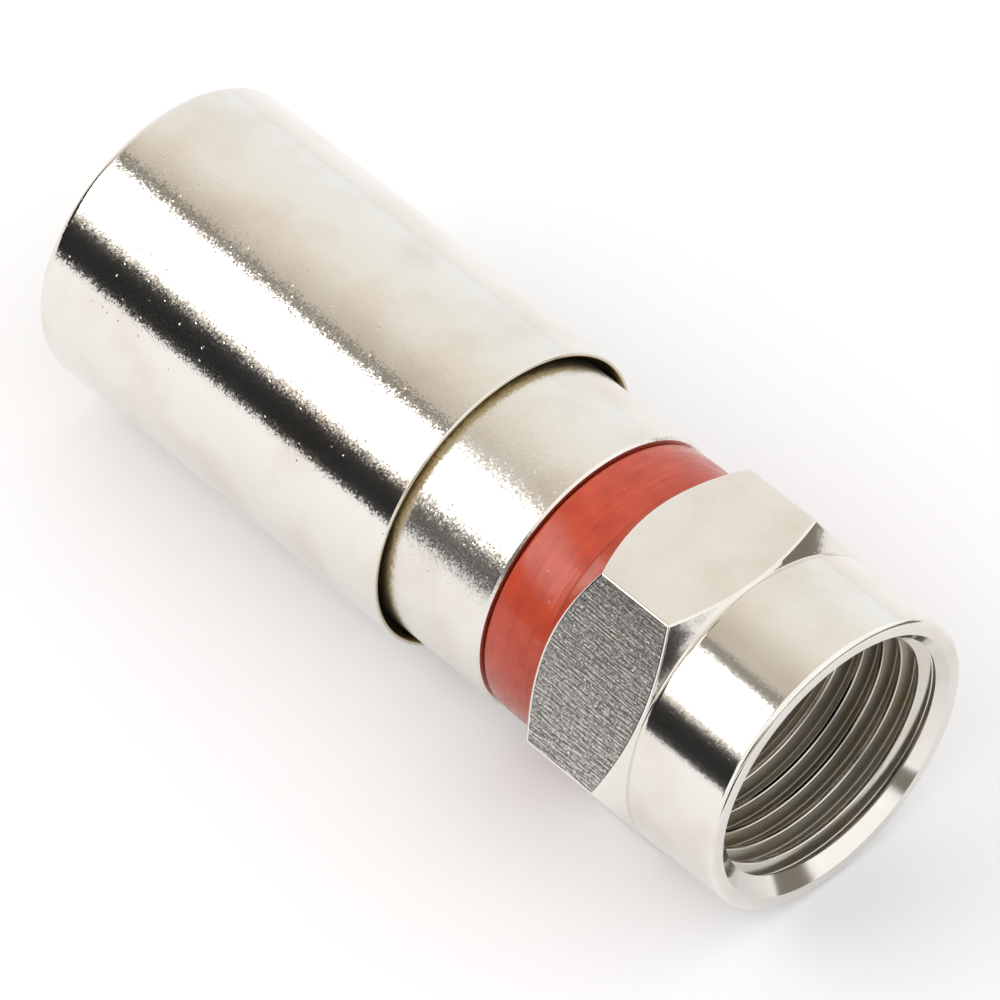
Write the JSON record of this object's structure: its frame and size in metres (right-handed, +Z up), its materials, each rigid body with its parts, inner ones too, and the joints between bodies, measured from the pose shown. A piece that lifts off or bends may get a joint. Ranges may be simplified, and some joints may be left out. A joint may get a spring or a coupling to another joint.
{
  "type": "f connector",
  "caption": "Male coaxial connector: a threaded hexagon coupling nut spins on a post and body, and a sleeve slides forward along the body to clamp a cable.",
  "frame": {"origin": "on the surface that the connector lies on, under the middle of its length and of its width", "axes": "+X along the connector's axis towards the coupling nut's mouth, +Z up, with a flat of the hexagon facing down"},
  "size_m": [0.0316, 0.0128, 0.0113],
  "materials": {
    "nickel_plated_nut": "bright nickel plate over turned brass, drawn texture on the hexagon's flats",
    "nickel_plated_post": "nickel plate over turned brass",
    "nickel_plated_body": "bright nickel plate over turned brass",
    "nickel_plated_sleeve": "bright nickel plate over turned brass",
    "red_plastic": "moulded red plastic, half gloss",
    "black_rubber": "smooth black rubber",
    "natural_plastic": "moulded natural white plastic"
  },
  "bodies": {
    "body": {"connector_body": "nickel_plated_body", "post": "nickel_plated_post", "marker_ring": "red_plastic", "nut_o_ring": "black_rubber"},
    "nut": {"coupling_nut": "nickel_plated_nut"},
    "sleeve": {"compression_sleeve": "nickel_plated_sleeve", "grip_ring": "natural_plastic"}
  },
  "joints": [
    {"name": "nut_spin", "type": "hinge", "parent": "body", "child": "nut", "pos_m": [0.0094, 0, 0.00565], "axis": [1, 0, 0], "continuous": true},
    {"name": "sleeve_slide", "type": "slide", "parent": "body", "child": "sleeve", "axis": [1, 0, 0], "range_m": [0, 0.0042]}
  ]
}
